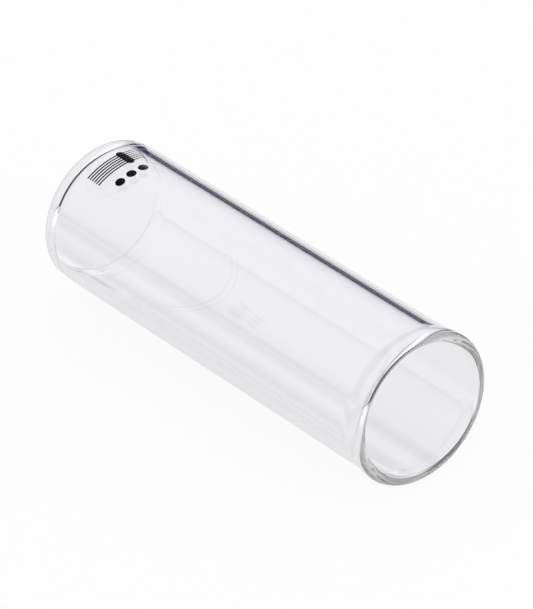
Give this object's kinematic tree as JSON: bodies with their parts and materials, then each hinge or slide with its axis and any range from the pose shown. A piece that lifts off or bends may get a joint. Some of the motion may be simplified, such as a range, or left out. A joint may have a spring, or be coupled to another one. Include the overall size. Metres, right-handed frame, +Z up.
{
  "type": "guitar slide",
  "caption": "Clear glass finger slide for guitar: a smooth open-ended tube with rounded fire-polished rims, a slight flare at the finger opening and a clear oval label near the far end.",
  "frame": {"origin": "on the tube's axis, halfway along its length", "axes": "+X along the tube's axis towards the flared finger opening, +Z up when the slide lies on its side, +Y level across the tube"},
  "size_m": [0.069, 0.0228, 0.0228],
  "materials": {
    "clear_glass": "clear borosilicate glass, smooth drawn surface, fire-polished rims",
    "label_film": "clear self-adhesive film, gloss",
    "black_ink": "printed black ink, satin"
  },
  "bodies": {
    "root": {"glass_tube": "clear_glass", "clear_label": "label_film", "printed_mark": "black_ink"}
  },
  "joints": []
}
